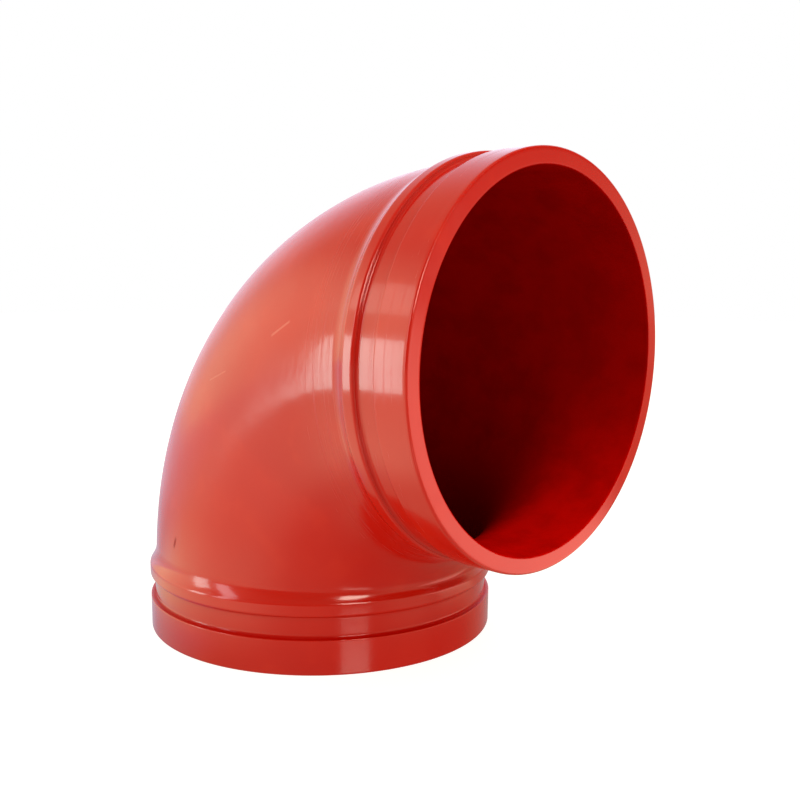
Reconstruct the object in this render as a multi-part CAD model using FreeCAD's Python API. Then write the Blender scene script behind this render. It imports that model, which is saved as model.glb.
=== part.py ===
import FreeCAD, Part
import math
import os

# Grooved elbow: a one-piece cast iron 90 degree bend for grooved pipe of 6 inch nominal size.
# The lower end stands on z = 0 with its axis on +Z, the side end opens towards +X, and the
# middle plane of the bend is y = 0. The origin is the centre of the lower end face. All in mm.
# Each end carries, from its face inwards: a gasket seat, a groove for the coupling keys, and a
# raised bead that runs down into the round body.

# Grooved end
END_DIAMETER = 168.3        # outside diameter of the gasket seat, the pipe's own size
SEAT_LENGTH = 15.9          # end face to the groove
GROOVE_WIDTH = 10.1         # groove between its two walls
GROOVE_DEPTH = 2.15         # below the gasket seat
NECK_WALL = 5.0             # metal left under the groove

# Bead behind the groove
BEAD_PROUD = 0.05           # bead crest above the gasket seat, as a radius
BEAD_CREST = 4.2            # length of the bead's crest, its edges counted in
BEAD_SLOPE = 50.0           # back slope of the bead, degrees from the axis

# Bend
BODY_WALL = 4.2             # metal of the bend's wall
CROTCH_RADIUS = 19.15       # radius of the bend's inner line, where the limbs meet
BEND_ANGLE = 90.0           # from the lower end's axis to the side end's axis, degrees

# Edges cut flat
FACE_BEVEL = 0.9            # end face to gasket seat
BORE_BEVEL = 0.4            # end face to bore
GROOVE_ROOT_BEVEL = 0.9     # groove floor to its walls
BEAD_FRONT_BEVEL = 0.7      # groove wall to bead crest

# Edges rounded
BEAD_BACK_ROUND = 2.5       # bead crest to its slope
BEAD_TOE_FILLET = 2.0       # bead slope to body

# Sizes that follow from the ones above
end_radius = END_DIAMETER / 2
groove_radius = end_radius - GROOVE_DEPTH
bore_radius = groove_radius - NECK_WALL
body_radius = bore_radius + BODY_WALL
bead_radius = end_radius + BEAD_PROUD
bead_start = SEAT_LENGTH + GROOVE_WIDTH
bead_end = bead_start + BEAD_CREST
slope = math.radians(BEAD_SLOPE)
bead_toe = bead_end + (bead_radius - body_radius) / math.tan(slope)
bend_start = bead_toe + BEAD_TOE_FILLET * math.tan(slope / 2)
bend_radius = body_radius + CROTCH_RADIUS

SAME_PLACE = 0.001          # nearer than this, two places are the same
UP = FreeCAD.Vector(0, 0, 1)
ACROSS = FreeCAD.Vector(0, 1, 0)
BASE = FreeCAD.Vector(0, 0, 0)
bend_centre = FreeCAD.Vector(bend_radius, 0, bend_start)


def outline(corners):
    """Closed wire in the XZ plane through corners of (radius, height, bevel, rounding)."""
    places = [FreeCAD.Vector(corner[0], 0, corner[1]) for corner in corners]
    starts = []
    ends = []
    middles = []
    for index, place in enumerate(places):
        bevel, rounding = corners[index][2:]
        to_last = (places[index - 1] - place).normalize()
        to_next = (places[(index + 1) % len(places)] - place).normalize()
        half = to_last.getAngle(to_next) / 2
        reach = bevel + rounding / math.tan(half)
        towards_centre = (to_last + to_next).normalize()
        starts.append(place + to_last * reach)
        ends.append(place + to_next * reach)
        middles.append(place + towards_centre * (rounding / math.sin(half) - rounding))
    edges = []
    for index, corner in enumerate(corners):
        bevel, rounding = corner[2:]
        if rounding > 0:
            edges.append(Part.Arc(starts[index], middles[index], ends[index]).toShape())
        elif bevel > 0:
            edges.append(Part.LineSegment(starts[index], ends[index]).toShape())
        following = starts[(index + 1) % len(corners)]
        if ends[index].distanceToPoint(following) > SAME_PLACE:
            edges.append(Part.LineSegment(ends[index], following).toShape())
    return Part.Wire(edges)


def end_ring():
    """The lower end: bore, face, seat, groove and bead, in one outline turned about +Z."""
    corners = [
        (bore_radius, 0, BORE_BEVEL, 0),
        (end_radius, 0, FACE_BEVEL, 0),
        (end_radius, SEAT_LENGTH, 0, 0),
        (groove_radius, SEAT_LENGTH, GROOVE_ROOT_BEVEL, 0),
        (groove_radius, bead_start, GROOVE_ROOT_BEVEL, 0),
        (bead_radius, bead_start, BEAD_FRONT_BEVEL, 0),
        (bead_radius, bead_end, 0, BEAD_BACK_ROUND),
        (body_radius, bead_toe, 0, BEAD_TOE_FILLET),
        (body_radius, bend_start, 0, 0),
        (bore_radius, bend_start, 0, 0),
    ]
    return Part.Face(outline(corners)).revolve(BASE, UP, 360)


def circle_wire(radius, height):
    """Level circle about the lower end's axis."""
    centre = FreeCAD.Vector(0, 0, height)
    return Part.Wire(Part.makeCircle(radius, centre, UP))


def bend():
    """The curved body: a flat ring turned about a line across the part."""
    ring = Part.Face([circle_wire(body_radius, bend_start), circle_wire(bore_radius, bend_start)])
    return ring.revolve(bend_centre, ACROSS, BEND_ANGLE)


def at_side_end(shape):
    """The same form at the side end: the lower end's, mirrored in the bend's middle plane."""
    half = math.radians(BEND_ANGLE / 2)
    return shape.mirror(bend_centre, FreeCAD.Vector(math.sin(half), 0, math.cos(half)))


def elbow():
    """The casting: the bend with the same ring at both its ends, as one solid."""
    end = end_ring()
    return bend().fuse([end, at_side_end(end)])


os.makedirs("parts", exist_ok=True)
casting = elbow()
casting.exportStep("parts/elbow.step")
print("elbow:", len(casting.Solids), "solid,", round(casting.Volume / 1000, 1), "cubic cm")
print("centre to end:", round(bend_radius + bend_start, 1), "mm")
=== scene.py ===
import logging
import math
from dataclasses import dataclass, field
from enum import Enum
from typing import Callable, Union

import bmesh
import bpy
from bmesh.types import BMEdge, BMesh, BMLayerItem, BMVert
from bpy.types import Material, Node, NodeSocket, NodeTree, Object
from mathutils import Matrix, Vector, noise


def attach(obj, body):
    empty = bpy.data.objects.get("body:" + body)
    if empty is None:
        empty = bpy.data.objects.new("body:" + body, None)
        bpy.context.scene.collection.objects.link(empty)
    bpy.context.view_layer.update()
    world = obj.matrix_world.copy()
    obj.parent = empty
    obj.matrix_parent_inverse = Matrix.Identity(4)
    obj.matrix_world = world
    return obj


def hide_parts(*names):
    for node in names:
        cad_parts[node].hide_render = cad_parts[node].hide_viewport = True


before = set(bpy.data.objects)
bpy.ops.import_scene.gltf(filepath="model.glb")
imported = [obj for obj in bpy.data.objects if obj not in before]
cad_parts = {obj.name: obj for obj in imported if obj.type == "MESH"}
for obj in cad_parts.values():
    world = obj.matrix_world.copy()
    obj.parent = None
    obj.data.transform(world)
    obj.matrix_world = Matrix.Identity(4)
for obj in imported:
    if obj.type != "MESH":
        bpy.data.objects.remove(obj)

# Grooved elbow: one casting in glossy red paint, drawn in millimetres and scaled at the end.
# Angles in fields are in degrees. The lower end stands on the floor with its axis on +Z, and
# the side end opens towards +X.

log = logging.getLogger("elbow")
MILLIMETRE = 0.001
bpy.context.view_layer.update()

Span = tuple[float, float]
Band = tuple[float, float, float]
Colour = tuple[float, float, float, float]
WHITE: Colour = (1.0, 1.0, 1.0, 1.0)
BLACK: Colour = (0.0, 0.0, 0.0, 1.0)


# The casting

@dataclass(frozen=True)
class Ring:
    """One ring of the end's outline, with the rounding that its edge gets."""

    radius: float
    height: float
    rounding: float = 0.0
    segments: int = 4


@dataclass
class GroovedEnd:
    """Sizes of one end, from its face inwards: gasket seat, groove and bead."""

    seat_radius: float = 84.15
    seat_length: float = 15.9
    groove_radius: float = 82.0
    groove_width: float = 10.1
    bore_radius: float = 77.0
    bead_radius: float = 84.2
    bead_crest: float = 5.5
    bead_slope: float = 33.0
    slope_start: float = 32.5
    bore_round: float = 0.45
    face_round: float = 0.9
    seat_round: float = 0.4
    seat_root_round: float = 1.6
    root_round: float = 1.2
    front_round: float = 1.2
    back_round: float = 2.2
    # Plain rows between the corners: distances from the face, and radii on the face itself.
    mouth_rows: tuple[float, ...] = (24.0, 18.0, 12.0, 7.0, 3.5, 1.4)
    face_rows: tuple[float, ...] = (78.1, 79.4, 80.9, 82.2)
    seat_rows: tuple[float, ...] = (2.0, 3.4, 6.0, 9.0, 12.0, 14.2, 15.1)
    floor_rows: tuple[float, ...] = (18.0, 19.5, 21.0, 22.8, 24.4)
    crest_rows: tuple[float, ...] = (27.3, 28.3, 29.2)

    @property
    def bead_start(self) -> float:
        """Distance from the face to the groove's far wall."""
        return self.seat_length + self.groove_width

    @property
    def bead_end(self) -> float:
        """Distance from the face to the corner where the crest turns into its slope."""
        return self.bead_start + self.bead_crest

    def slope_radius(self, height: float) -> float:
        """Radius of the bead's back slope.

        Args:
            height: distance from the face.

        Returns:
            The radius in millimetres.
        """
        fall = math.tan(math.radians(self.bead_slope))
        return self.bead_radius - (height - self.bead_end) * fall

    def face_rings(self) -> list[Ring]:
        """Lists the rings of the bore's mouth and the flat face.

        Returns:
            The rings, from the inside out.
        """
        near = [Ring(self.bore_radius, height) for height in self.mouth_rows]
        mouth = Ring(self.bore_radius, 0.0, self.bore_round, 3)
        flat = [Ring(radius, 0.0) for radius in self.face_rows]
        return near + [mouth] + flat

    def outer_rings(self) -> list[Ring]:
        """Lists the rings of the seat, the groove and the bead, up to the start of the slope.

        Returns:
            The rings, from the face inwards.
        """
        seat = [Ring(self.seat_radius, height) for height in self.seat_rows]
        floor = [Ring(self.groove_radius, height) for height in self.floor_rows]
        crest = [Ring(self.bead_radius, height) for height in self.crest_rows]
        return [
            Ring(self.seat_radius, 0.0, self.face_round, 6),
            *seat,
            Ring(self.seat_radius, self.seat_length, self.seat_round, 3),
            Ring(self.groove_radius, self.seat_length, self.seat_root_round, 6),
            *floor,
            Ring(self.groove_radius, self.bead_start, self.root_round, 5),
            Ring(self.bead_radius, self.bead_start, self.front_round, 4),
            *crest,
            Ring(self.bead_radius, self.bead_end, self.back_round, 6),
            Ring(self.slope_radius(self.slope_start), self.slope_start),
        ]


@dataclass
class Bend:
    """The round body, turned through a right angle about a line across the elbow."""

    body_radius: float = 81.2
    bore_radius: float = 77.0
    radius: float = 105.0
    start: float = 29.0
    angle: float = 90.0
    search: float = 6.0
    halvings: int = 30

    @property
    def centre(self) -> Vector:
        """The point in the middle plane about which the body turns."""
        return Vector((self.radius, 0.0, self.start))

    def point(self, tube_radius: float, around: float, turn: float) -> Vector:
        """Point on a round bar of the bend.

        Args:
            tube_radius: radius of the bar.
            around: angle round the bar, 0 on the side of the bend's centre.
            turn: angle along the bend, 0 at the lower end.

        Returns:
            The point in the elbow's frame.
        """
        reach = self.radius - tube_radius * math.cos(around)
        return Vector((
            self.radius - reach * math.cos(turn),
            tube_radius * math.sin(around),
            self.start + reach * math.sin(turn),
        ))

    def turn_at(self, around: float, height: float) -> float:
        """Angle along the bend at which the body's skin reaches a height.

        Args:
            around: angle round the body, 0 on the side of the bend's centre.
            height: height above the lower face.

        Returns:
            The angle in radians.
        """
        reach = self.radius - self.body_radius * math.cos(around)
        return math.asin((height - self.start) / reach)

    def skin_radius(self, bearing: float, height: float) -> float:
        """Distance of the body's skin from the lower end's axis, by bisection.

        Args:
            bearing: direction from the axis, in radians from +X.
            height: height above the lower face.

        Returns:
            The distance in millimetres.
        """
        if height <= self.start:
            return self.body_radius
        low, high = self.body_radius - self.search, self.body_radius + self.search
        for _ in range(self.halvings):
            middle = (low + high) / 2
            across = middle * math.sin(bearing)
            along = self.radius - middle * math.cos(bearing)
            off_line = math.hypot(along, height - self.start) - self.radius
            if math.hypot(off_line, across) < self.body_radius:
                low = middle
            else:
                high = middle
        return low


def smooth_max(first: float, second: float, reach: float) -> float:
    """The larger of two radii, with a rounded change from one to the other.

    Args:
        first: one radius.
        second: the other radius.
        reach: difference below which the two blend.

    Returns:
        The blended radius.
    """
    share = max(reach - abs(first - second), 0.0) / reach
    return max(first, second) + share * share * reach / 4


@dataclass
class ElbowCasting:
    """The whole casting, drawn ring by ring for one half and mirrored in the bend's middle."""

    end: GroovedEnd = field(default_factory=GroovedEnd)
    bend: Bend = field(default_factory=Bend)
    columns: int = 192
    bore_rows: int = 26
    body_rows: int = 38
    toe_reach: float = 2.4
    toe_height: float = 40.5
    toe_step: float = 0.5
    wave_depth: float = 0.05
    wave_length: float = 17.0
    wave_fade: float = 12.0
    weld: float = 0.001

    def build(self, name: str) -> Object:
        """Builds the casting's mesh and its object.

        Args:
            name: name of the object.

        Returns:
            The object, linked to the scene, with its place in its mesh.
        """
        shell = bmesh.new()
        bearing = shell.verts.layers.float.new("bearing")
        rounded = self._draw_half(shell, bearing)
        self._round_edges(shell, rounded)
        self._mirror(shell)
        self._cast_waves(shell)
        bmesh.ops.scale(shell, vec=(MILLIMETRE,) * 3, verts=shell.verts)
        for face in shell.faces:
            face.smooth = True
        shell.verts.layers.float.remove(shell.verts.layers.float["bearing"])
        mesh = bpy.data.meshes.new(name)
        shell.to_mesh(mesh)
        shell.free()
        piece = bpy.data.objects.new(name, mesh)
        bpy.context.scene.collection.objects.link(piece)
        log.info("%s: %d faces", name, len(mesh.polygons))
        return piece

    def _draw_half(self, shell: BMesh, bearing: BMLayerItem) -> list[tuple[Ring, list[BMVert]]]:
        """Extrudes ring after ring from the middle of the bore to the middle of the back.

        Args:
            shell: the mesh to draw in.
            bearing: layer that keeps each vertex's angle round its ring.

        Returns:
            The rings whose edges are rounded, each with its vertices.
        """
        start = bmesh.ops.create_circle(
            shell, cap_ends=False, segments=self.columns, radius=self.bend.bore_radius)
        for vert in start["verts"]:
            vert[bearing] = math.atan2(vert.co.y, vert.co.x)
        edges = list(shell.edges)
        half = math.radians(self.bend.angle / 2)
        inner = self.bend.bore_radius
        self._place(start["verts"], bearing, lambda around: self.bend.point(inner, around, half))
        for row in range(self.bore_rows - 1, -1, -1):
            turn = half * row / self.bore_rows
            edges, _ = self._extrude(
                shell, edges, bearing, lambda around: self.bend.point(inner, around, turn))
        rounded = []
        for ring in self.end.face_rings() + self.end.outer_rings():
            edges, verts = self._extrude(
                shell, edges, bearing, lambda around: self._level(ring.radius, around, ring.height))
            if ring.rounding:
                rounded.append((ring, verts))
        height = self.end.slope_start + self.toe_step
        while height < self.toe_height + self.toe_step / 2:
            edges, _ = self._extrude(
                shell, edges, bearing, lambda around: self._toe_point(around, height))
            height += self.toe_step
        for row in range(1, self.body_rows + 1):
            share = row / self.body_rows
            edges, _ = self._extrude(
                shell, edges, bearing, lambda around: self._back_point(around, share, half))
        return rounded

    def _extrude(self, shell: BMesh, edges: list[BMEdge], bearing: BMLayerItem,
                 where: Callable[[float], Vector]) -> tuple[list[BMEdge], list[BMVert]]:
        """Extrudes an open edge loop and puts the new ring in its place.

        Args:
            shell: the mesh.
            edges: the open loop.
            bearing: layer with each vertex's angle.
            where: place of a vertex from its angle.

        Returns:
            The new loop's edges and vertices.
        """
        grown = bmesh.ops.extrude_edge_only(shell, edges=edges)["geom"]
        verts = [item for item in grown if isinstance(item, BMVert)]
        self._place(verts, bearing, where)
        new_edges = [item for item in grown if isinstance(item, BMEdge) and item.is_boundary]
        return new_edges, verts

    @staticmethod
    def _place(verts: list[BMVert], bearing: BMLayerItem,
               where: Callable[[float], Vector]) -> None:
        """Moves each vertex to the place that its angle gives."""
        for vert in verts:
            vert.co = where(vert[bearing])

    @staticmethod
    def _level(radius: float, around: float, height: float) -> Vector:
        """Point on a level ring about the lower end's axis."""
        return Vector((radius * math.cos(around), radius * math.sin(around), height))

    def _toe_point(self, around: float, height: float) -> Vector:
        """Point where the bead's slope runs out into the body's skin.

        Args:
            around: angle round the body at the top of the toe.
            height: height above the lower face.

        Returns:
            The point, which leans from its own bearing to that of the body's ring above.
        """
        at_top = self.bend.point(
            self.bend.body_radius, around, self.bend.turn_at(around, self.toe_height))
        rise = self.toe_height - self.end.slope_start
        share = (height - self.end.slope_start) / rise
        swing = math.remainder(math.atan2(at_top.y, at_top.x) - around, math.tau)
        direction = around + swing * share
        skin = self.bend.skin_radius(direction, height)
        radius = smooth_max(self.end.slope_radius(height), skin, self.toe_reach)
        return self._level(radius, direction, height)

    def _back_point(self, around: float, share: float, half: float) -> Vector:
        """Point on the body's skin.

        Args:
            around: angle round the body.
            share: 0 at the top of the toe and 1 in the middle of the bend.
            half: angle along the bend at its middle.

        Returns:
            The point.
        """
        first = self.bend.turn_at(around, self.toe_height)
        return self.bend.point(self.bend.body_radius, around, first + (half - first) * share)

    @staticmethod
    def _round_edges(shell: BMesh, rounded: list[tuple[Ring, list[BMVert]]]) -> None:
        """Bevels the edges of each ring into an arc of its rounding.

        Args:
            shell: the mesh.
            rounded: the rings and their vertices.
        """
        for ring, verts in rounded:
            members = set(verts)
            edges = list(dict.fromkeys(
                edge for vert in verts for edge in vert.link_edges
                if edge.other_vert(vert) in members))
            shell.normal_update()
            first, second = (face.normal for face in edges[0].link_faces)
            offset = ring.rounding * math.tan(first.angle(second) / 2)
            bmesh.ops.bevel(
                shell, geom=edges, offset=offset, offset_type="OFFSET",
                segments=ring.segments, profile=0.5, affect="EDGES", material=-1)

    def _mirror(self, shell: BMesh) -> None:
        """Mirrors the half in the bend's middle plane and closes the shell.

        Args:
            shell: the mesh.
        """
        centre = self.bend.centre
        turn = Matrix.Rotation(math.radians(self.bend.angle / 2), 3, "Y")
        bmesh.ops.translate(shell, vec=-centre, verts=shell.verts)
        bmesh.ops.rotate(shell, cent=(0, 0, 0), matrix=turn, verts=shell.verts)
        bmesh.ops.mirror(
            shell, geom=shell.verts[:] + shell.edges[:] + shell.faces[:],
            matrix=Matrix.Identity(4), merge_dist=self.weld, axis="X")
        bmesh.ops.rotate(shell, cent=(0, 0, 0), matrix=turn.transposed(), verts=shell.verts)
        bmesh.ops.translate(shell, vec=centre, verts=shell.verts)
        bmesh.ops.remove_doubles(shell, verts=shell.verts, dist=self.weld)
        bmesh.ops.recalc_face_normals(shell, faces=shell.faces)

    def _cast_waves(self, shell: BMesh) -> None:
        """Presses the slight waves of a sand casting into the body's skin.

        Args:
            shell: the mesh.
        """
        shell.normal_update()
        for vert in shell.verts:
            off_end = min(vert.co.z, self.bend.start + self.bend.radius - vert.co.x)
            if off_end < self.toe_height:
                continue
            fade = min((off_end - self.toe_height) / self.wave_fade, 1.0)
            wave = noise.noise(vert.co / self.wave_length)
            vert.co += vert.normal * (wave * self.wave_depth * fade)


# Shader maths

Number = Union[float, "Signal"]
Tint = Union[Colour, float, "Signal", NodeSocket]


@dataclass(frozen=True)
class Signal:
    """A socket that carries a number, with the sums that shaders need."""

    tree: "Tree"
    socket: NodeSocket

    def __add__(self, other: Number) -> "Signal":
        """Sum."""
        return self.tree.maths("ADD", self, other)

    __radd__ = __add__

    def __sub__(self, other: Number) -> "Signal":
        """Difference."""
        return self.tree.maths("SUBTRACT", self, other)

    def __rsub__(self, other: Number) -> "Signal":
        """Difference, with this signal taken away."""
        return self.tree.maths("SUBTRACT", other, self)

    def __mul__(self, other: Number) -> "Signal":
        """Product."""
        return self.tree.maths("MULTIPLY", self, other)

    __rmul__ = __mul__

    def __truediv__(self, other: Number) -> "Signal":
        """Quotient."""
        return self.tree.maths("DIVIDE", self, other)

    def at_most(self, other: Number) -> "Signal":
        """The smaller of the two."""
        return self.tree.maths("MINIMUM", self, other)

    def at_least(self, other: Number) -> "Signal":
        """The larger of the two."""
        return self.tree.maths("MAXIMUM", self, other)

    def over(self, low: float, high: float) -> "Signal":
        """0 below low, 1 above high, and a smooth rise between them."""
        return self.tree.spread(self, low, high)

    def within(self, low: float, high: float, soft: float) -> "Signal":
        """1 between low and high, with soft edges outside them."""
        return self.over(low - soft, low) * (1 - self.over(high, high + soft))


@dataclass
class Tree:
    """Adds nodes to one node tree."""

    tree: NodeTree

    def node(self, kind: str, settings: dict | None = None,
             inputs: dict | None = None) -> Node:
        """Adds one node.

        Args:
            kind: the node's type.
            settings: attributes of the node, set first.
            inputs: values or links of its sockets, by name or number.

        Returns:
            The node.
        """
        made = self.tree.nodes.new(kind)
        for name, value in (settings or {}).items():
            setattr(made, name, value)
        for name, value in (inputs or {}).items():
            socket = made.inputs[name]
            if isinstance(value, Signal):
                self.tree.links.new(value.socket, socket)
            elif isinstance(value, NodeSocket):
                self.tree.links.new(value, socket)
            else:
                socket.default_value = value
        return made

    def number(self, socket: NodeSocket) -> Signal:
        """Wraps an output that carries a number."""
        return Signal(self, socket)

    def maths(self, operation: str, first: Number, second: Number) -> Signal:
        """Adds one Math node and gives its result."""
        made = self.node("ShaderNodeMath", {"operation": operation}, {0: first, 1: second})
        return self.number(made.outputs[0])

    def spread(self, value: Number, low: float, high: float) -> Signal:
        """Adds a smooth step.

        Args:
            value: the number that is read.
            low: where the step leaves 0.
            high: where it reaches 1.

        Returns:
            The step's height, from 0 to 1.
        """
        made = self.node(
            "ShaderNodeMapRange", {"interpolation_type": "SMOOTHSTEP"},
            {"Value": value, "From Min": low, "From Max": high})
        return self.number(made.outputs["Result"])

    def towards(self, azimuth: float, elevation: float) -> Signal:
        """Compares the direction that the world is asked for with a bearing.

        Args:
            azimuth: the bearing's azimuth in degrees.
            elevation: its elevation in degrees.

        Returns:
            The cosine of the angle between the two.
        """
        direction = self.node("ShaderNodeTexCoord").outputs["Generated"]
        made = self.node("ShaderNodeVectorMath", {"operation": "DOT_PRODUCT"}, {
            0: direction, 1: bearing_vector(azimuth, elevation)})
        return self.number(made.outputs["Value"])

    def mix_colour(self, share: Number, first: Tint, second: Tint,
                   blend: str = "MIX") -> NodeSocket:
        """Adds one Mix node for colours.

        Args:
            share: 0 for the first colour, 1 for the second.
            first: one colour, as a value or a link.
            second: the other colour.
            blend: how the second colour is laid on the first.

        Returns:
            The mixed colour.
        """
        # This node's colours are its inputs 6 and 7, and the mixed colour is its output 2.
        made = self.node(
            "ShaderNodeMix", {"data_type": "RGBA", "blend_type": blend},
            {0: share, 6: first, 7: second})
        return made.outputs[2]

    def noise(self, place: NodeSocket, scale: float, detail: float = 2.0,
              roughness: float = 0.5) -> Signal:
        """Adds a Noise Texture.

        Args:
            place: coordinates.
            scale: how fine the noise is.
            detail: how many finer layers it has.
            roughness: strength of the finer layers.

        Returns:
            The noise, from 0 to 1.
        """
        made = self.node(
            "ShaderNodeTexNoise", {},
            {"Vector": place, "Scale": scale, "Detail": detail, "Roughness": roughness})
        return self.number(made.outputs[0])


# Finishes

@dataclass(frozen=True)
class Spot:
    """Where a point of the paint lies, in millimetres."""

    place: NodeSocket
    along_x: Signal
    across: Signal
    height: Signal
    off_side: Signal
    off_end: Signal

    @classmethod
    def of(cls, tree: Tree, centre_to_end: float) -> "Spot":
        """Reads the place from the Object coordinates.

        Args:
            tree: the material's nodes.
            centre_to_end: distance from the centre to each end face.

        Returns:
            The place, with its distances from the side face and the nearer face.
        """
        place = tree.node("ShaderNodeTexCoord").outputs["Object"]
        axes = tree.node("ShaderNodeSeparateXYZ", {}, {"Vector": place})
        along_x, across, height = (
            tree.number(axes.outputs[axis]) * (1 / MILLIMETRE) for axis in "XYZ")
        off_side = centre_to_end - along_x
        return cls(place, along_x, across, height, off_side, height.at_most(off_side))


@dataclass(frozen=True)
class Mottle:
    """A cloudy pattern: its noise, and the range of it that fades from 0 to 1."""

    scale: float
    detail: float
    roughness: float
    cloud: Span | None = None

    def mask(self, tree: Tree, place: NodeSocket) -> Signal:
        """The pattern's strength at a place."""
        strength = tree.noise(place, self.scale, self.detail, self.roughness)
        return strength.over(*self.cloud) if self.cloud else strength


@dataclass(frozen=True)
class Stroke:
    """A short mark on the near side of the body, with its places along +X and +Z."""

    start: Span
    end: Span
    width: float
    near_side: Span = (-40.0, -30.0)

    def mask(self, spot: Spot) -> Signal:
        """Draws the mark.

        Args:
            spot: where the paint lies.

        Returns:
            1 on the mark and 0 beside it.
        """
        run, lift = self.end[0] - self.start[0], self.end[1] - self.start[1]
        length = math.hypot(run, lift)
        right, up = run / length, lift / length
        from_x = spot.along_x - self.start[0]
        from_z = spot.height - self.start[1]
        along = from_x * right + from_z * up
        aside = from_z * right - from_x * up
        ends = along.within(0.0, length, self.width * 2)
        sides = aside.within(-self.width / 4, self.width / 4, self.width / 2)
        return ends * sides * (1 - spot.across.over(*self.near_side))


@dataclass(frozen=True)
class RedPaint:
    """Glossy orange-red enamel, sprayed thick outside and left matt and thin in the bore; the bore
    and the groove's corners carry painted light and shade.
    """

    colour: Colour = (0.61, 0.008, 0.001, 1.0)
    thin: Colour = (0.56, 0.005, 0.001, 1.0)
    thick: Colour = (0.65, 0.014, 0.002, 1.0)
    pale: Colour = (0.74, 0.13, 0.10, 1.0)
    dark: Colour = (0.24, 0.002, 0.001, 1.0)
    # Darker red of the groove's corners: painted shade, partly paint pooled there.
    corner_paint_and_shade: Colour = (0.46, 0.0014, 0.0004, 1.0)
    bore_mouth: Colour = (0.39, 0.0012, 0.0004, 1.0)
    bore_deep: Colour = (0.45, 0.0008, 0.0003, 1.0)
    # Darker red for random dust, and for painted shade deep in the lower limb.
    bore_dust_and_shade: Colour = (0.16, 0.0006, 0.0003, 1.0)
    # Lighter red for a painted pool of light on the bore's lower wall near the side mouth.
    bore_painted_light: Colour = (0.58, 0.0014, 0.0004, 1.0)
    gloss: float = 0.50
    refraction: float = 1.5
    coat_end: float = 0.25
    coat_body: float = 0.0
    coat_roughness: float = 0.04
    roughness_end: float = 0.14
    roughness_body: float = 0.15
    roughness_middle: float = 0.08
    roughness_mottle: float = 0.06
    roughness_marks: float = 0.22

    # Where the elbow's parts lie, mostly as distances from the nearer end face. A span fades in
    # from its first value to its second, and a band has soft edges of the third outside it.
    centre_to_end: float = 134.0
    bend_radius: float = 105.0
    bore_radius: float = 77.0
    bore_edge: Span = (0.25, 0.75)
    bend_joint: float = 0.01
    body: Span = (34.0, 38.0)
    coat_fade: Span = (38.0, 66.0)
    middle: Span = (54.0, 84.0)
    side_limb: Span = (0.0, 12.0)
    groove: Band = (16.2, 25.6, 0.4)
    # Bands of the groove's corners, darkened as painted shade with some pooled paint.
    seat_corner: Band = (16.1, 16.7, 0.5)
    bead_corner: Band = (25.4, 25.9, 0.4)
    bead_corner_shade_share: float = 0.3
    corner_shade_share: float = 0.75

    # Paint in the bore: fades from the side face inwards, with a painted pool of light low near the
    # side mouth, painted shade deep in the lower limb, and dust at random.
    deep_from_side: Span = (20.0, 110.0)
    light_height: Span = (60.0, 140.0)
    light_from_side: Span = (20.0, 60.0)
    shade_height: Span = (40.0, 90.0)
    shade_from_side: Span = (30.0, 70.0)
    shade_share: float = 0.6
    dust: Mottle = Mottle(60.0, 4.0, 0.6, (0.35, 0.7))
    dust_share: float = 0.3
    grain: Mottle = Mottle(420.0, 3.0, 0.6)
    grain_height: float = 0.05

    # Small marks and the enamel's unevenness.
    scratch: Stroke = Stroke((58.1, 145.7), (66.6, 150.6), 0.9)
    scratch_share: float = 0.7
    faint_scratch: Stroke = Stroke((14.5, 124.7), (26.3, 129.0), 0.7)
    faint_share: float = 0.5
    pit: Stroke = Stroke((-10.3, 48.7), (-9.7, 50.1), 1.5)
    pit_share: float = 0.6
    clouds: Mottle = Mottle(14.0, 3.0, 0.55, (0.35, 0.68))
    runs: Mottle = Mottle(55.0, 2.0, 0.6, (0.56, 0.72))
    runs_share: float = 0.35
    sheen: Mottle = Mottle(120.0, 2.0, 0.5)
    sheen_middle: float = 0.5

    # Relief in millimetres: peel and lumps, each with a height for the whole elbow and one more
    # for the body, and ring marks. A pitch is the pattern's scale along the limb and round it.
    peel: Mottle = Mottle(620.0, 2.0, 0.55)
    peel_height: Span = (0.0016, 0.0110)
    lumps: Mottle = Mottle(95.0, 2.0, 0.5)
    lumps_height: Span = (0.010, 0.090)
    rings: Mottle = Mottle(1.0, 2.0, 0.6)
    rings_height: float = 0.085
    rings_pitch: Span = (0.45, 0.012)
    fine_rings_pitch: Span = (1.6, 0.03)
    fine_rings_by_bead: float = 0.016
    fine_rings_in_groove: float = 0.012
    fine_rings_elsewhere: float = 0.004
    rings_end: Span = (46.0, 66.0)
    rings_patches: Mottle = Mottle(26.0, 1.0, 0.5, (0.42, 0.58))
    rings_patches_share: float = 0.7
    rings_height_range: Band = (80.0, 165.0, 30.0)
    rings_range_share: float = 0.95
    dull_rings: Mottle = Mottle(1.0, 3.0, 0.65, (0.50, 0.66))
    dull_rings_pitch: Span = (0.9, 0.02)
    dull_rings_end: Span = (48.0, 64.0)
    dull_seat_end: Span = (24.0, 27.0)
    dull_seat_share: float = 0.6

    def material(self, name: str) -> Material:
        """Builds the paint's material.

        Args:
            name: name of the material.

        Returns:
            The material.
        """
        made = bpy.data.materials.new(name)
        made.use_nodes = True
        made.node_tree.nodes.clear()
        tree = Tree(made.node_tree)
        spot = Spot.of(tree, self.centre_to_end)
        inside = self._inside(tree, spot)
        pitted = self.pit.mask(spot)
        # Painted shade in the groove's corners, partly pooled paint: they take the matt shader and
        # its darker red.
        corner_shade = spot.off_end.within(*self.seat_corner).at_least(
            self.bead_corner_shade_share * spot.off_end.within(*self.bead_corner))
        both = tree.node("ShaderNodeMixShader", {}, {
            0: inside.at_least(corner_shade * self.corner_shade_share).at_least(pitted * self.pit_share),
            1: self._enamel(tree, spot, pitted),
            2: self._matt(tree, spot, inside)})
        tree.node("ShaderNodeOutputMaterial", {}, {"Surface": both.outputs[0]})
        return made

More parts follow.
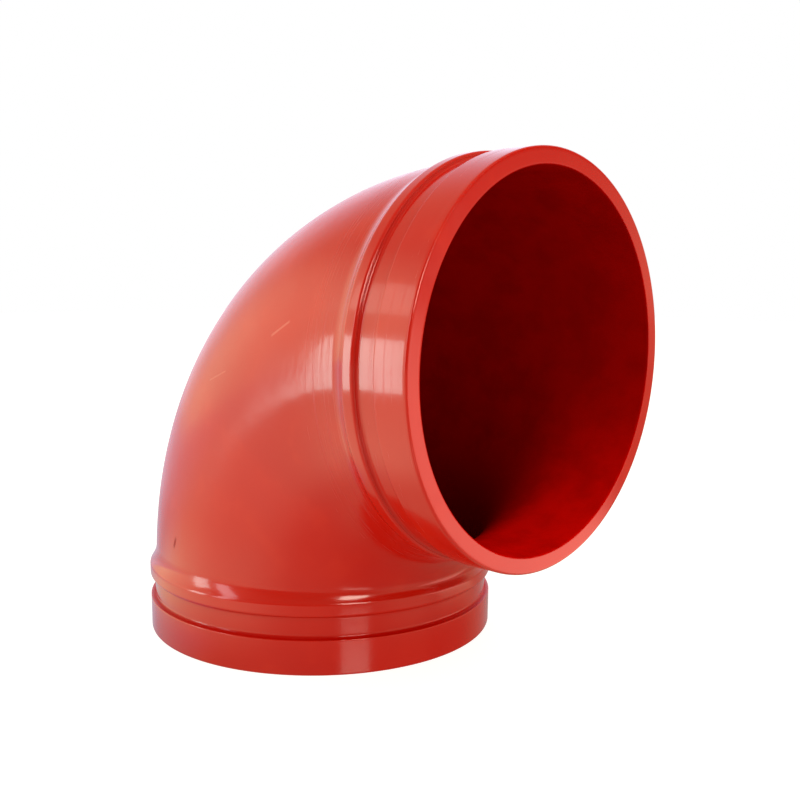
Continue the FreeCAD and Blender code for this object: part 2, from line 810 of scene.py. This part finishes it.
    def _enamel(self, tree: Tree, spot: Spot, pitted: Signal) -> NodeSocket:
        """The glossy paint outside.

        Args:
            tree: the material's nodes.
            spot: where the paint lies.
            pitted: 1 in the pit, 0 beside it.

        Returns:
            The shader.
        """
        on_body = spot.off_end.over(*self.body)
        on_side = (spot.height - spot.off_side).over(*self.side_limb)
        roughness = (
            self.roughness_end + (self.roughness_body - self.roughness_end) * on_body
            + self.roughness_middle * spot.off_end.over(*self.middle)
            + self.roughness_mottle * (self.sheen.mask(tree, spot.place) - self.sheen_middle)
            + self.roughness_marks * self._dull_rings(tree, spot) * on_side)
        enamel = tree.node("ShaderNodeBsdfPrincipled", {}, {
            "Base Color": self._tone(tree, spot, pitted),
            "Roughness": roughness,
            "Normal": self._relief(tree, spot, on_body, on_side),
            "Specular IOR Level": self.gloss,
            "Coat Weight": self.coat_end - (self.coat_end - self.coat_body)
            * spot.off_end.over(*self.coat_fade),
            "Coat Roughness": self.coat_roughness,
            "IOR": self.refraction,
        })
        return enamel.outputs[0]

    def _matt(self, tree: Tree, spot: Spot, inside: Signal) -> NodeSocket:
        """The thin matt paint of the bore, the groove's corners and the pit, with painted shade in
        the corners and painted light and shade in the bore.

        Args:
            tree: the material's nodes.
            spot: where the paint lies.
            inside: 1 in the bore, 0 outside.

        Returns:
            The shader.
        """
        spray = tree.mix_colour(
            spot.off_side.over(*self.deep_from_side), self.bore_mouth, self.bore_deep)
        # Painted pool of light on the bore's lower wall near the side mouth.
        painted_light = (1 - spot.height.over(*self.light_height)) * (
            1 - spot.off_side.over(*self.light_from_side))
        spray = tree.mix_colour(painted_light, spray, self.bore_painted_light)
        # Painted shade deep in the bore of the lower limb; the same darker red also marks random
        # dust.
        deep_shade = self.shade_share * (1 - spot.height.over(*self.shade_height)) * (
            spot.off_side.over(*self.shade_from_side))
        dusty = self.dust.mask(tree, spot.place) * self.dust_share
        spray = tree.mix_colour(deep_shade.at_least(dusty), spray, self.bore_dust_and_shade)
        grain = tree.node("ShaderNodeBump", {}, {
            "Strength": 1.0, "Distance": MILLIMETRE,
            "Height": self.grain_height * self.grain.mask(tree, spot.place)})
        matt = tree.node("ShaderNodeBsdfPrincipled", {}, {
            "Base Color": tree.mix_colour(inside, self.corner_paint_and_shade, spray),
            "Roughness": 1.0,
            "Specular IOR Level": 0.0,
            "Normal": grain.outputs["Normal"],
        })
        return matt.outputs[0]

    def _inside(self, tree: Tree, spot: Spot) -> Signal:
        """Finds the bore's wall by its distance from the bore's middle line.

        Args:
            tree: the material's nodes.
            spot: where the paint lies.

        Returns:
            1 on the wall of the bore, 0 on the faces and outside.
        """
        start = self.centre_to_end - self.bend_radius
        over_x = (self.bend_radius - spot.along_x).at_least(0)
        over_z = (spot.height - start).at_least(0)
        bent = tree.maths("SQRT", over_x * over_x + over_z * over_z, 0.0) - self.bend_radius
        straight_out = spot.height - self.centre_to_end
        turned = spot.height.over(start - self.bend_joint, start + self.bend_joint)
        out = spot.along_x.over(
            self.bend_radius - self.bend_joint, self.bend_radius + self.bend_joint)
        off_line = (1 - turned) * spot.along_x + turned * ((1 - out) * bent + out * straight_out)
        off_axis = tree.maths("SQRT", off_line * off_line + spot.across * spot.across, 0.0)
        return 1 - off_axis.over(*(self.bore_radius + edge for edge in self.bore_edge))

    @staticmethod
    def _along_rings(tree: Tree, across: Signal, lengthwise: Signal,
                     third: Signal, pitch: Span) -> NodeSocket:
        """Coordinates that change fast along the limb and slowly round it.

        Args:
            tree: the material's nodes.
            across: distance along +Y.
            lengthwise: distance along the limb.
            third: the remaining distance.
            pitch: scale along the limb, and the one of the other two.

        Returns:
            The coordinates.
        """
        return tree.node("ShaderNodeCombineXYZ", {}, {
            "X": lengthwise * pitch[0], "Y": across * pitch[1], "Z": third * pitch[1],
        }).outputs[0]

    def _dull_rings(self, tree: Tree, spot: Spot) -> Signal:
        """Draws thin duller rings in the paint of the side limb and its seat.

        Args:
            tree: the material's nodes.
            spot: where the paint lies.

        Returns:
            The rings' strength, 0 between them.
        """
        lines = self._along_rings(
            tree, spot.across, spot.off_side, spot.height, self.dull_rings_pitch)
        by_bead = spot.off_side.over(*self.body) * (1 - spot.off_side.over(*self.dull_rings_end))
        by_seat = self.dull_seat_share * (1 - spot.off_side.over(*self.dull_seat_end))
        return self.dull_rings.mask(tree, lines) * (by_bead + by_seat)

    def _tone(self, tree: Tree, spot: Spot, pitted: Signal) -> NodeSocket:
        """The enamel's colour, with the clouds of an uneven coat and its few small marks.

        Args:
            tree: the material's nodes.
            spot: where the paint lies.
            pitted: 1 in the pit, 0 beside it.

        Returns:
            The colour.
        """
        tone = tree.mix_colour(self.clouds.mask(tree, spot.place), self.thin, self.colour)
        tone = tree.mix_colour(
            self.runs.mask(tree, spot.place) * self.runs_share, tone, self.thick)
        scratched = self.scratch.mask(spot).at_least(
            self.faint_scratch.mask(spot) * self.faint_share)
        tone = tree.mix_colour(scratched * self.scratch_share, tone, self.pale)
        return tree.mix_colour(pitted, tone, self.dark)

    def _relief(self, tree: Tree, spot: Spot, on_body: Signal,
                on_side: Signal) -> NodeSocket:
        """The enamel's small relief, in millimetres: orange peel, lumps and ring marks.

        Args:
            tree: the material's nodes.
            spot: where the paint lies.
            on_body: 1 on the body, 0 on the ends.
            on_side: 1 on the side limb, 0 on the lower one.

        Returns:
            The bumped normal.
        """
        everywhere, more_on_body = self.peel_height
        peel = self.peel.mask(tree, spot.place) * (everywhere + more_on_body * on_body)
        everywhere, more_on_body = self.lumps_height
        lumps = self.lumps.mask(tree, spot.place) * (everywhere + more_on_body * on_body)
        along = spot.along_x + spot.height
        rings = self._along_rings(tree, spot.across, spot.off_end, along, self.rings_pitch)
        fine_rings = self._along_rings(
            tree, spot.across, spot.off_end, along, self.fine_rings_pitch)
        patchy = (1 - self.rings_patches_share) + self.rings_patches_share * (
            self.rings_patches.mask(tree, spot.place))
        by_height = (1 - self.rings_range_share) + self.rings_range_share * (
            spot.height.within(*self.rings_height_range))
        near_bead = on_side * spot.off_end.over(*self.body) * (
            1 - spot.off_end.over(*self.rings_end)) * patchy * by_height
        turned = self.rings.mask(tree, rings) * (near_bead * self.rings_height)
        combed = self.rings.mask(tree, fine_rings) * (
            near_bead * self.fine_rings_by_bead
            + spot.off_end.within(*self.groove) * self.fine_rings_in_groove
            + self.fine_rings_elsewhere)
        bump = tree.node("ShaderNodeBump", {}, {
            "Strength": 1.0, "Distance": MILLIMETRE, "Height": peel + lumps + turned + combed})
        return bump.outputs["Normal"]


# Studio

class Ray(Enum):
    """Kinds of ray that the white surroundings answer."""

    CAMERA = "Is Camera Ray"
    GLOSSY = "Is Glossy Ray"
    TRANSMISSION = "Is Transmission Ray"


def seen_directly(tree: Tree, *kinds: Ray) -> Signal:
    """Tells the named kinds of ray from all others.

    Args:
        tree: the nodes of a material or the world.
        kinds: the kinds of ray.

    Returns:
        1 for the named kinds and 0 for the rest.
    """
    path = tree.node("ShaderNodeLightPath")
    total = tree.number(path.outputs[kinds[0].value])
    for kind in kinds[1:]:
        total = total.at_least(tree.number(path.outputs[kind.value]))
    return total


def bearing_vector(azimuth: float, elevation: float) -> Vector:
    """Direction from its two angles.

    Args:
        azimuth: 0 towards -Y and 90 towards +X, in degrees.
        elevation: angle above the level, in degrees.

    Returns:
        The direction, of length 1.
    """
    turn, rise = math.radians(azimuth), math.radians(elevation)
    return Vector((
        math.sin(turn) * math.cos(rise), -math.cos(turn) * math.cos(rise), math.sin(rise)))


# Where the lamps look, in metres: the elbow's middle, or the side bead's near side.
MIDDLE = (0.04, 0.0, 0.11)
SIDE_BEAD = (0.10, -0.08, 0.137)


class Lit(Enum):
    """What a lamp lights."""

    CASTING = "casting"
    FLOOR = "floor"


class Reach(Enum):
    """How a lamp shows on a surface."""

    SOFT = "soft light only"
    MIRRORED = "mirrored only"


@dataclass
class Lamp:
    """A soft rectangular lamp that looks at the elbow. Its sizes are in metres."""

    name: str
    azimuth: float
    elevation: float
    distance: float
    width: float
    height: float
    brightness: float
    colour: tuple[float, float, float] = (1.0, 1.0, 1.0)
    aim: tuple[float, float, float] = MIDDLE
    lights: Lit = Lit.CASTING
    reach: Reach = Reach.MIRRORED

    def build(self, receiver: Object) -> Object:
        """Adds the lamp; its brightness is that of its face, 1 being white.

        Args:
            receiver: the object that it lights.

        Returns:
            The lamp.
        """
        data = bpy.data.lights.new(self.name, "AREA")
        data.shape = "RECTANGLE"
        data.size = self.width
        data.size_y = self.height
        data.energy = self.brightness * math.pi * self.width * self.height
        data.color = self.colour
        lamp = bpy.data.objects.new(self.name, data)
        away = bearing_vector(self.azimuth, self.elevation)
        lamp.location = Vector(self.aim) + away * self.distance
        lamp.rotation_euler = away.to_track_quat("Z", "Y").to_euler()
        lamp.visible_camera = False
        lamp.visible_diffuse = self.reach is not Reach.MIRRORED
        lamp.visible_glossy = self.reach is not Reach.SOFT
        bpy.context.scene.collection.objects.link(lamp)
        lit = bpy.data.collections.new(f"lit_by_{self.name}")
        lit.objects.link(receiver)
        lamp.light_linking.receiver_collection = lit
        return lamp


@dataclass(frozen=True)
class TableTone:
    """A painted pool of light or shade on the table: a soft change of its brightness on one side of
    the casting.
    """

    bearing: float
    turn: Span
    reach: Span
    gain: float

    def change(self, right: Signal, back: Signal, away: Signal) -> Signal:
        """Brightness that the tone adds at a place on the table.

        Args:
            right: distance along +X in millimetres.
            back: distance along +Y.
            away: distance from the lower end's axis.

        Returns:
            The brightness.
        """
        ahead = bearing_vector(self.bearing, 0.0)
        facing = (right * ahead.x + back * ahead.y) / away
        return facing.over(*self.turn) * away.over(*self.reach) * self.gain


@dataclass(frozen=True)
class Patch:
    """A round patch of the room, whose edge fades between two cosines from its middle."""

    azimuth: float
    elevation: float
    edge: Span

    def mask(self, tree: Tree) -> Signal:
        """1 in the patch's middle and 0 outside it."""
        return tree.towards(self.azimuth, self.elevation).over(*self.edge)


@dataclass
class Studio:
    """White surroundings, a pale floor and soft lamps."""

    # The room: plain for soft light, and with patches for what the paint mirrors.
    sky: float = 0.95
    warm: Colour = (1.0, 0.92, 0.62, 1.0)
    cool: Colour = (1.12, 1.16, 1.38, 1.0)
    cool_side: Patch = Patch(-140.0, 8.0, (0.55, 0.97))
    mirror_plain: float = 0.62
    mirror_bright: float = 0.45
    bright_side: Patch = Patch(-105.0, 10.0, (-0.1, 0.8))
    mirror_dark: float = 0.5
    dark_side: Patch = Patch(40.0, 0.0, (0.5, 0.95))
    ceiling_fall: float = 0.55
    ceiling: Patch = Patch(0.0, 90.0, (0.2, 0.8))
    # Painted shade: a dark patch of the room, so that the paint by the throat between the limbs
    # mirrors dark.
    throat_dark: float = 0.9
    throat_side: Patch = Patch(140.0, 22.0, (0.90, 0.985))
    pane: float = 1.0
    pane_side: Patch = Patch(-60.0, 8.0, (0.80, 0.99))
    glow: float = 0.4
    glow_side: Patch = Patch(138.0, -4.0, (0.95, 0.995))
    glow_colour: Colour = (1.0, 0.50, 0.40, 1.0)

    # The floor as the camera sees it: white, with a faint shadow.
    floor_size: float = 8.0
    floor_shadow: float = 0.42
    floor_glow: float = 0.875

    # The floor as the paint sees it: a table that gives soft light and is mirrored by place, with
    # painted pools of light and painted shadow.
    table_soft: float = 0.72
    # The soft light rises away from the foot and fades out under it, as painted shade round and
    # under the foot.
    table_open: float = 0.58
    open_reach: Span = (90.0, 200.0)
    foot_painted_shadow: Span = (78.0, 84.0)
    table_plain: float = 0.20
    table_rise: float = 0.12
    rise_reach: Span = (90.0, 190.0)
    table_polish: float = 0.18
    polish_roughness: float = 0.16
    refraction: float = 1.5
    # Painted pools of light and shade on the mirrored table.
    table_tones: tuple[TableTone, ...] = (
        TableTone(-30.0, (-0.10, 0.50), (0.0, 1.0), 0.28),
        TableTone(-20.0, (0.55, 1.00), (82.0, 155.0), 0.95),
        TableTone(-45.0, (0.30, 0.85), (220.0, 450.0), -0.10),
        TableTone(-110.0, (0.20, 0.85), (200.0, 600.0), 0.50),
        TableTone(108.0, (0.80, 0.97), (100.0, 160.0), 0.30),
        TableTone(123.0, (0.955, 0.99), (120.0, 260.0), 2.80),
    )
    # Painted shadow on the side limb's side of the table.
    table_painted_shadow: TableTone = TableTone(95.0, (0.10, 0.90), (120.0, 240.0), 0.45)
    table_blue: Colour = (0.80, 0.88, 1.10, 1.0)
    table_cool: TableTone = TableTone(-112.0, (0.35, 0.95), (0.0, 1.0), 1.0)
    foot_cool: TableTone = TableTone(-30.0, (0.75, 0.97), (0.0, 1.0), 1.0)
    foot_cool_reach: Span = (92.0, 130.0)
    table_orange: TableTone = TableTone(123.0, (0.94, 0.98), (120.0, 260.0), 1.0)

    lamps: tuple[Lamp, ...] = (
        Lamp("window", -45.0, -1.0, 0.60, 0.125, 0.245, 4.7, (0.74, 0.97, 0.94), SIDE_BEAD),
        Lamp("upper_pane", -47.0, 27.0, 0.80, 0.18, 0.17, 1.2, (1.0, 0.96, 0.85), SIDE_BEAD),
        Lamp("side_pane", -25.0, 14.0, 0.90, 0.16, 0.52, 3.5, (0.97, 0.95, 1.0), SIDE_BEAD),
        Lamp("right_pane", 68.0, 26.0, 2.0, 0.60, 0.62, 9.5, (1.0, 0.94, 0.80)),
        Lamp("right_strip", 68.0, 26.0, 2.0, 0.60, 0.62, 16.0, (1.0, 0.94, 0.80),
             lights=Lit.FLOOR),
        Lamp("side_fill", 118.0, 45.0, 2.2, 1.6, 1.6, 2.3, (1.0, 0.95, 0.86),
             reach=Reach.SOFT),
        Lamp("top_fill", -60.0, 60.0, 2.2, 1.6, 1.6, 0.8, (1.0, 0.95, 0.86),
             reach=Reach.SOFT),
    )

    def build(self, casting: Object) -> None:
        """Builds the world, the floor and the lamps.

        Args:
            casting: the elbow, which most of the lamps light alone.
        """
        self._world()
        receivers = {Lit.CASTING: casting, Lit.FLOOR: self._floor()}
        for lamp in self.lamps:
            lamp.build(receivers[lamp.lights])
            log.info("lamp %s", lamp.name)

    def _world(self) -> None:
        """White for the camera, a room with patches for mirrors, and a soft sky for the rest."""
        world = bpy.data.worlds.new("white_room")
        world.use_nodes = True
        world.node_tree.nodes.clear()
        bpy.context.scene.world = world
        tree = Tree(world.node_tree)
        direct = seen_directly(tree, Ray.CAMERA, Ray.GLOSSY, Ray.TRANSMISSION)
        camera = seen_directly(tree, Ray.CAMERA)
        mirrored = (
            self.mirror_plain + self.mirror_bright * self.bright_side.mask(tree)
            - self.mirror_dark * self.dark_side.mask(tree)
        ) * (1 - self.ceiling_fall * self.ceiling.mask(tree))
        # Painted shade: the dark patch that the paint by the throat mirrors.
        mirrored = mirrored * (1 - self.throat_dark * self.throat_side.mask(tree))
        mirrored = mirrored + self.pane * self.pane_side.mask(tree)
        glowing = self.glow_side.mask(tree) * direct
        seen = camera + (1 - camera) * (mirrored + self.glow * glowing)
        strength = self.sky + (seen - self.sky) * direct
        tint = tree.mix_colour(self.cool_side.mask(tree), self.warm, self.cool)
        tint = tree.mix_colour(glowing, tint, self.glow_colour)
        colour = tree.mix_colour(camera, tint, WHITE)
        light = tree.node(
            "ShaderNodeBackground", {}, {"Color": colour, "Strength": strength})
        tree.node("ShaderNodeOutputWorld", {}, {"Surface": light.outputs[0]})

    def _floor(self) -> Object:
        """Adds the floor: pale for the camera, and a toned table for all other rays.

        Returns:
            The floor.
        """
        sheet = bmesh.new()
        bmesh.ops.create_grid(sheet, x_segments=1, y_segments=1, size=self.floor_size / 2)
        mesh = bpy.data.meshes.new("floor")
        sheet.to_mesh(mesh)
        sheet.free()
        floor = bpy.data.objects.new("floor", mesh)
        bpy.context.scene.collection.objects.link(floor)
        made = bpy.data.materials.new("pale_floor")
        made.use_nodes = True
        made.node_tree.nodes.clear()
        tree = Tree(made.node_tree)
        toned = tree.node("ShaderNodeBsdfPrincipled", {}, {
            "Base Color": BLACK, "Specular IOR Level": 0.0,
            "Emission Color": self._table_colour(tree), "Emission Strength": 1.0})
        polish = tree.node("ShaderNodeBsdfGlossy", {}, {
            "Color": WHITE, "Roughness": self.polish_roughness})
        fresnel = tree.node("ShaderNodeFresnel", {}, {"IOR": self.refraction})
        table = tree.node("ShaderNodeMixShader", {}, {
            0: tree.number(fresnel.outputs[0]).at_most(self.table_polish),
            1: toned.outputs[0], 2: polish.outputs[0]})
        shaded = tree.node("ShaderNodeBsdfDiffuse", {}, {
            "Color": (self.floor_shadow,) * 3 + (1.0,)})
        glow = tree.node("ShaderNodeEmission", {}, {"Strength": self.floor_glow})
        backdrop = tree.node("ShaderNodeAddShader", {}, {0: shaded.outputs[0], 1: glow.outputs[0]})
        both = tree.node("ShaderNodeMixShader", {}, {
            0: seen_directly(tree, Ray.CAMERA), 1: table.outputs[0], 2: backdrop.outputs[0]})
        tree.node("ShaderNodeOutputMaterial", {}, {"Surface": both.outputs[0]})
        mesh.materials.append(made)
        return floor

    def _table_colour(self, tree: Tree) -> NodeSocket:
        """Sets the table's light: painted pools of light and shade where mirrored; where soft, a
        plain level with painted shadow round and under the foot and on the side limb's side.

        Args:
            tree: the floor's nodes.

        Returns:
            The colour that the table gives off.
        """
        place = tree.node("ShaderNodeTexCoord").outputs["Object"]
        axes = tree.node("ShaderNodeSeparateXYZ", {}, {"Vector": place})
        right = tree.number(axes.outputs["X"]) * (1 / MILLIMETRE)
        back = tree.number(axes.outputs["Y"]) * (1 / MILLIMETRE)
        away = tree.maths("SQRT", right * right + back * back, 0.0).at_least(1.0)
        brightness = self.table_plain + self.table_rise * away.over(*self.rise_reach)
        for tone in self.table_tones:
            brightness = brightness + tone.change(right, back, away)
        near_foot = 1 - away.over(*self.foot_cool_reach)
        coolness = self.table_cool.change(right, back, away).at_least(
            self.foot_cool.change(right, back, away) * near_foot)
        tint = tree.mix_colour(coolness, self.warm, self.table_blue)
        orange = self.table_orange.change(right, back, away)
        tint = tree.mix_colour(orange, tint, self.glow_colour)
        mirrored = tree.mix_colour(1.0, tint, brightness, "MULTIPLY")
        # Painted shade round and under the foot, and painted shadow on the side limb's side.
        soft = (self.table_soft + self.table_open * away.over(*self.open_reach)) * (
            away.over(*self.foot_painted_shadow)) * (1 - self.table_painted_shadow.change(right, back, away))
        direct = seen_directly(tree, Ray.GLOSSY, Ray.TRANSMISSION)
        return tree.mix_colour(direct, soft, mirrored)


@dataclass
class PhotoCamera:
    """The photograph's camera, in millimetres, degrees and the photograph's pixels."""

    place: tuple[float, float, float] = (357.0, -326.0, 167.0)
    azimuth: float = 42.99
    elevation: float = 9.78
    roll: float = 0.59
    focal_pixels: float = 985.2
    middle_row: float = 450.0
    photo_pixels: float = 800.0
    sensor: float = 36.0
    nearest: float = 0.01

    def build(self) -> Object:
        """Adds the camera and makes it the scene's.

        Returns:
            The camera.
        """
        back = bearing_vector(self.azimuth, self.elevation)
        level = (-back).cross(Vector((0, 0, 1))).normalized()
        upright = level.cross(-back)
        lean = math.radians(self.roll)
        right = level * math.cos(lean) + upright * math.sin(lean)
        up = upright * math.cos(lean) - level * math.sin(lean)
        data = bpy.data.cameras.new("photo_camera")
        data.sensor_fit = "HORIZONTAL"
        data.sensor_width = self.sensor
        data.lens = self.focal_pixels * self.sensor / self.photo_pixels
        data.shift_y = (self.middle_row - self.photo_pixels / 2) / self.photo_pixels
        data.clip_start = self.nearest
        camera = bpy.data.objects.new("photo_camera", data)
        turn = Matrix((right, up, back)).transposed().to_4x4()
        camera.matrix_world = Matrix.Translation(Vector(self.place) * MILLIMETRE) @ turn
        bpy.context.scene.collection.objects.link(camera)
        bpy.context.scene.camera = camera
        return camera


def main() -> None:
    """Builds the elbow, its studio and the camera."""
    logging.basicConfig(level=logging.INFO, format="%(name)s: %(message)s")
    bpy.context.scene.view_settings.view_transform = "Standard"
    casting = ElbowCasting().build("elbow_casting")
    casting.data.materials.append(RedPaint().material("red_paint"))
    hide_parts("elbow")
    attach(casting, "root")
    Studio().build(casting)
    PhotoCamera().build()
    log.info("camera and studio are in place")


if __name__ == "__main__":
    main()
